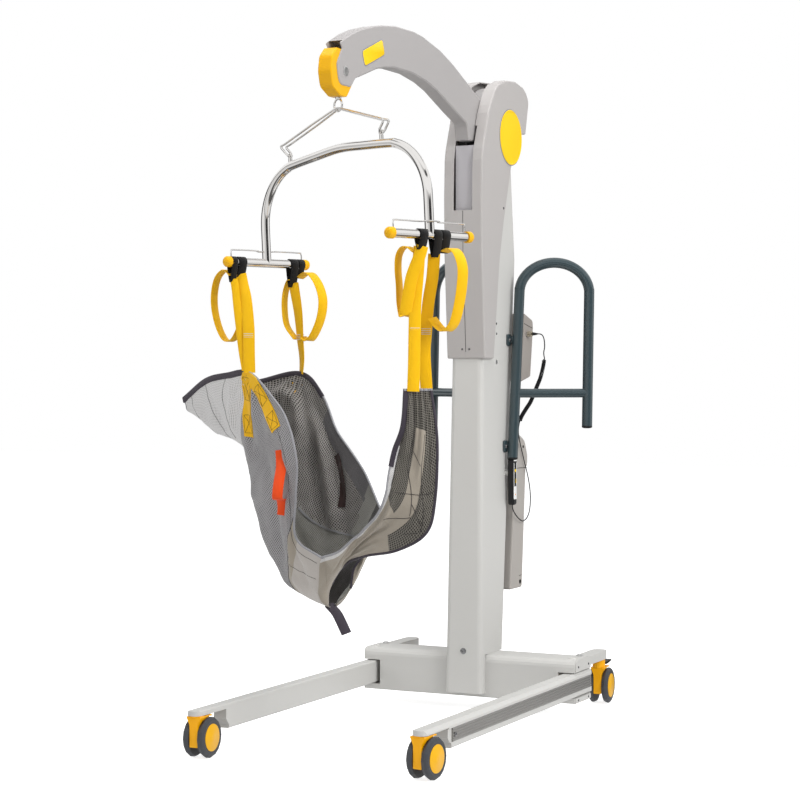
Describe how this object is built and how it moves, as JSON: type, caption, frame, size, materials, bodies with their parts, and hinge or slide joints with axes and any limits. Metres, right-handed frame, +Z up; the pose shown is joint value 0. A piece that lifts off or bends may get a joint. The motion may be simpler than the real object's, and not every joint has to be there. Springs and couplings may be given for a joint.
{
  "type": "patient lift",
  "caption": "Mobile patient lift: castered base with opening legs, tapered mast, arched lifting boom, bent-tube spreader with two bars, hanging sling, corded handset and slide-off battery.",
  "frame": {"origin": "on the floor, under the middle of the box round everything but the free cord", "axes": "+Z up; the boom reaches forward along -Y over the legs; +X is to the lift's own left seen from in front, where the handset hangs"},
  "size_m": [0.8904, 1.3392, 1.7988],
  "materials": {
    "pale_grey_paint": "satin powder coat",
    "warm_grey_paint": "satin powder coat",
    "warm_grey_shell": "matt moulded",
    "yellow_plastic": "satin moulded",
    "amber_plastic": "satin moulded",
    "black_plastic": "matt moulded",
    "cord_rubber": "matt",
    "grey_tyre": "matt",
    "chromed_steel": "polished",
    "bright_steel": "bright zinc",
    "fluted_aluminium": "fluted extrusion",
    "blue_grey_gloss": "gloss paint",
    "box_plastic": "matt moulded",
    "sling_cloth": "woven mesh",
    "yellow_webbing": "woven webbing"
  },
  "bodies": {
    "base": {"cross_beam": "pale_grey_paint", "beam_end_plate_left": "pale_grey_paint", "beam_end_plate_right": "pale_grey_paint", "leg_pivot_left": "bright_steel", "leg_pivot_right": "bright_steel", "mast": "pale_grey_paint", "mast_cover_left": "warm_grey_shell", "mast_cover_right": "warm_grey_shell", "boom_pivot_shaft": "bright_steel", "actuator_pin": "bright_steel", "control_box": "box_plastic", "battery_dock": "black_plastic", "push_handle_left": "blue_grey_gloss", "push_handle_right": "blue_grey_gloss", "handset": "black_plastic", "cord_plug": "black_plastic", "cord_lead": "cord_rubber", "cord_curls": "cord_rubber", "cord_tail": "cord_rubber"},
    "boom": {"boom": "warm_grey_paint", "boom_nose_pin": "bright_steel"},
    "nose": {"boom_nose": "yellow_plastic"},
    "spreader": {"swivel_eye": "chromed_steel", "spreader_frame": "chromed_steel", "hanger_link_left": "chromed_steel", "hanger_link_right": "chromed_steel", "bar_cap_left_front": "yellow_plastic", "bar_cap_left_rear": "yellow_plastic", "bar_cap_right_front": "yellow_plastic", "bar_cap_right_rear": "yellow_plastic", "strap_keeper_left": "chromed_steel", "strap_keeper_right": "chromed_steel", "sling_body": "sling_cloth", "sling_strap_shoulder_left": "yellow_webbing", "sling_strap_shoulder_right": "yellow_webbing", "sling_strap_thigh_left": "yellow_webbing", "sling_strap_thigh_right": "yellow_webbing"},
    "actuator": {"actuator_body": "black_plastic"},
    "actuator_rod": {"actuator_rod": "bright_steel"},
    "battery": {"battery_pack": "box_plastic"},
    "shutter": {"slot_shutter": "warm_grey_shell"},
    "leg_left": {"leg_left": "pale_grey_paint", "leg_strip_left": "fluted_aluminium"},
    "leg_right": {"leg_right": "pale_grey_paint", "leg_strip_right": "fluted_aluminium"},
    "key_raise": {"handset_key_raise": "black_plastic"},
    "key_lower": {"handset_key_lower": "black_plastic"},
    "key_open_legs": {"handset_key_open_legs": "black_plastic"},
    "key_close_legs": {"handset_key_close_legs": "black_plastic"},
    "key_stop": {"handset_stop_disc": "black_plastic"},
    "caster_front_left": {"caster_fork_front_left": "amber_plastic"},
    "wheels_front_left": {"caster_wheels_front_left": "grey_tyre"},
    "caster_front_right": {"caster_fork_front_right": "amber_plastic"},
    "wheels_front_right": {"caster_wheels_front_right": "grey_tyre"},
    "caster_rear_left": {"caster_fork_rear_left": "amber_plastic"},
    "wheels_rear_left": {"caster_wheels_rear_left": "grey_tyre"},
    "brake_rear_left": {"brake_pedal_rear_left": "black_plastic"},
    "caster_rear_right": {"caster_fork_rear_right": "amber_plastic"},
    "wheels_rear_right": {"caster_wheels_rear_right": "grey_tyre"},
    "brake_rear_right": {"brake_pedal_rear_right": "black_plastic"}
  },
  "joints": [
    {"name": "leg_right_spread", "type": "hinge", "parent": "base", "child": "leg_right", "pos_m": [0.3807, 0.427, 0.087], "axis": [0, 0, 1], "range_deg": [0, 13]},
    {"name": "leg_left_spread", "type": "hinge", "parent": "base", "child": "leg_left", "pos_m": [-0.2073, 0.427, 0.087], "axis": [0, 0, 1], "range_deg": [-13, 0]},
    {"name": "caster_front_left_swivel", "type": "hinge", "parent": "leg_left", "child": "caster_front_left", "pos_m": [-0.2103, -0.588, 0.104], "axis": [0, 0, 1], "continuous": true},
    {"name": "wheels_front_left_roll", "type": "hinge", "parent": "caster_front_left", "child": "wheels_front_left", "pos_m": [-0.21075, -0.562, 0.05], "axis": [0.9998, 0.0175, 0], "continuous": true},
    {"name": "caster_front_right_swivel", "type": "hinge", "parent": "leg_right", "child": "caster_front_right", "pos_m": [0.3837, -0.588, 0.104], "axis": [0, 0, 1], "continuous": true},
    {"name": "wheels_front_right_roll", "type": "hinge", "parent": "caster_front_right", "child": "wheels_front_right", "pos_m": [0.38597, -0.5621, 0.05], "axis": [0.9962, -0.0872, 0], "continuous": true},
    {"name": "caster_rear_left_swivel", "type": "hinge", "parent": "base", "child": "caster_rear_left", "pos_m": [-0.2033, 0.587, 0.104], "axis": [0, 0, 1], "continuous": true},
    {"name": "wheels_rear_left_roll", "type": "hinge", "parent": "caster_rear_left", "child": "wheels_rear_left", "pos_m": [-0.20375, 0.613, 0.05], "axis": [0.9998, 0.0175, 0], "continuous": true},
    {"name": "brake_rear_left_press", "type": "hinge", "parent": "caster_rear_left", "child": "brake_rear_left", "pos_m": [-0.20382, 0.617, 0.1115], "axis": [0.9998, 0.0175, 0], "range_deg": [-7, 0]},
    {"name": "caster_rear_right_swivel", "type": "hinge", "parent": "base", "child": "caster_rear_right", "pos_m": [0.3767, 0.587, 0.104], "axis": [0, 0, 1], "continuous": true},
    {"name": "wheels_rear_right_roll", "type": "hinge", "parent": "caster_rear_right", "child": "wheels_rear_right", "pos_m": [0.37443, 0.6129, 0.05], "axis": [0.9962, 0.0872, 0], "continuous": true},
    {"name": "brake_rear_right_press", "type": "hinge", "parent": "caster_rear_right", "child": "brake_rear_right", "pos_m": [0.37409, 0.61689, 0.1115], "axis": [0.9962, 0.0872, 0], "range_deg": [-7, 0]},
    {"name": "boom_lift", "type": "hinge", "parent": "base", "child": "boom", "pos_m": [0.0867, 0.503, 1.583], "axis": [1, 0, 0], "range_deg": [-8, 50], "deforming": ["sling_body", "sling_strap_shoulder_left", "sling_strap_shoulder_right", "sling_strap_thigh_left", "sling_strap_thigh_right"]},
    {"name": "nose_level", "type": "hinge", "parent": "boom", "child": "nose", "pos_m": [0.0867, -0.423, 1.647], "axis": [1, 0, 0], "range_deg": [-50, 8]},
    {"name": "spreader_swivel", "type": "hinge", "parent": "nose", "child": "spreader", "pos_m": [0.0867, -0.423, 1.586], "axis": [0, 0, 1], "continuous": true},
    {"name": "actuator_tilt", "type": "hinge", "parent": "base", "child": "actuator", "pos_m": [0.0867, 0.432, 0.955], "axis": [1, 0, 0], "range_deg": [-6.5, 1.5]},
    {"name": "actuator_extend", "type": "slide", "parent": "actuator", "child": "actuator_rod", "axis": [0, -0.0612, 0.9981], "range_m": [-0.0837, 0.0151]},
    {"name": "shutter_follow", "type": "slide", "parent": "base", "child": "shutter", "axis": [0, 0, 1], "range_m": [-0.201, 0.033]},
    {"name": "battery_lift_off", "type": "slide", "parent": "base", "child": "battery", "axis": [0, 0.105, 0.9945], "range_m": [0, 0.08]},
    {"name": "key_raise_press", "type": "slide", "parent": "base", "child": "key_raise", "axis": [1, 0, 0], "range_m": [-0.0015, 0], "stiffness_N_per_m": 600},
    {"name": "key_lower_press", "type": "slide", "parent": "base", "child": "key_lower", "axis": [1, 0, 0], "range_m": [-0.0015, 0], "stiffness_N_per_m": 600},
    {"name": "key_open_legs_press", "type": "slide", "parent": "base", "child": "key_open_legs", "axis": [1, 0, 0], "range_m": [-0.0015, 0], "stiffness_N_per_m": 600},
    {"name": "key_close_legs_press", "type": "slide", "parent": "base", "child": "key_close_legs", "axis": [1, 0, 0], "range_m": [-0.0015, 0], "stiffness_N_per_m": 600},
    {"name": "key_stop_press", "type": "slide", "parent": "base", "child": "key_stop", "axis": [1, 0, 0], "range_m": [-0.0015, 0], "stiffness_N_per_m": 600}
  ],
  "couplings": [
    {"joint": "leg_left_spread", "follows": "leg_right_spread", "ratio": -1},
    {"joint": "nose_level", "follows": "boom_lift", "ratio": -1},
    {"joint": "actuator_tilt", "follows": "boom_lift", "ratio": -0.09},
    {"joint": "actuator_extend", "follows": "boom_lift", "m_per_rad": -0.0936},
    {"joint": "shutter_follow", "follows": "boom_lift", "m_per_rad": -0.2292}
  ]
}
